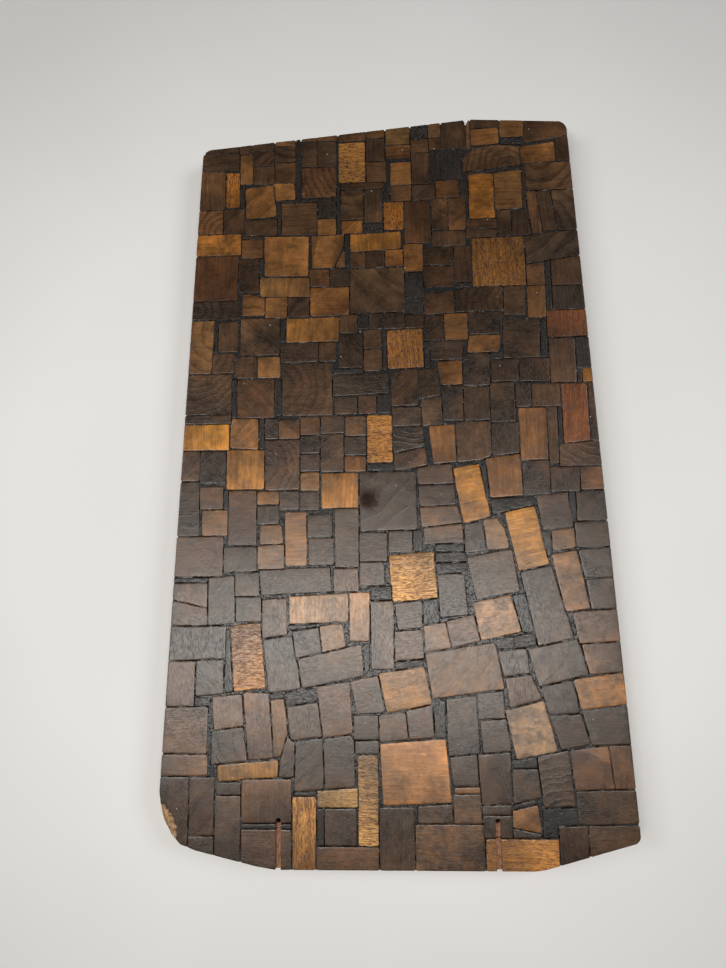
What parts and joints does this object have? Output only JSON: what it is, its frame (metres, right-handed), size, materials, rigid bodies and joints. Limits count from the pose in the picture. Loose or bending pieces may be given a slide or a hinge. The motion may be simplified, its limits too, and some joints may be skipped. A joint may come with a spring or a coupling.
{
  "type": "mosaic plaque",
  "caption": "Tall tapered wooden wall plaque faced with a mosaic of small wood blocks set in black filler, with two cord holes and face channels at the foot.",
  "frame": {"origin": "middle of the flat back face, under the middle of the bounding box", "axes": "+X to the right across the face, +Y from the wide bevelled foot to the narrower crown, +Z out of the mosaic face"},
  "size_m": [0.3052, 0.5106, 0.019],
  "materials": {
    "backing_board": "birch plywood, sawn edge, satin oil",
    "filler_bed": "black filled resin, rough, with fine glinting grit",
    "walnut": "dark walnut end grain, satin oil",
    "chestnut": "mid-brown hardwood end and long grain, satin oil",
    "maple": "pale tan hardwood end grain, satin oil",
    "mahogany": "golden orange mahogany with dark open pores, satin oil",
    "padauk": "red-orange padauk, long streaks, satin oil",
    "bog_oak": "blackened oak slivers, open grain, satin oil"
  },
  "bodies": {
    "root": {"backing_board": "backing_board", "bog_oak_crown": "bog_oak", "bog_oak_foot": "bog_oak", "bog_oak_lower": "bog_oak", "bog_oak_middle": "bog_oak", "bog_oak_upper": "bog_oak", "chestnut_crown_centre": "chestnut", "chestnut_crown_left": "chestnut", "chestnut_crown_right": "chestnut", "chestnut_foot_centre": "chestnut", "chestnut_foot_left": "chestnut", "chestnut_foot_right": "chestnut", "chestnut_lower_centre": "chestnut", "chestnut_lower_left": "chestnut", "chestnut_lower_right": "chestnut", "chestnut_middle_centre": "chestnut", "chestnut_middle_left": "chestnut", "chestnut_middle_right": "chestnut", "chestnut_upper_centre": "chestnut", "chestnut_upper_left": "chestnut", "chestnut_upper_right": "chestnut", "filler_bed": "filler_bed", "mahogany_crown": "mahogany", "mahogany_foot": "mahogany", "mahogany_lower": "mahogany", "mahogany_middle": "mahogany", "mahogany_upper": "mahogany", "maple_crown": "maple", "maple_foot": "maple", "maple_lower": "maple", "maple_middle": "maple", "maple_upper": "maple", "padauk_middle": "padauk", "padauk_upper": "padauk", "walnut_crown_centre": "walnut", "walnut_crown_left": "walnut", "walnut_crown_right": "walnut", "walnut_foot_centre": "walnut", "walnut_foot_left": "walnut", "walnut_foot_right": "walnut", "walnut_lower_centre": "walnut", "walnut_lower_left": "walnut", "walnut_lower_right": "walnut", "walnut_middle_centre": "walnut", "walnut_middle_left": "walnut", "walnut_middle_right": "walnut", "walnut_upper_centre": "walnut", "walnut_upper_left": "walnut", "walnut_upper_right": "walnut"}
  },
  "joints": []
}
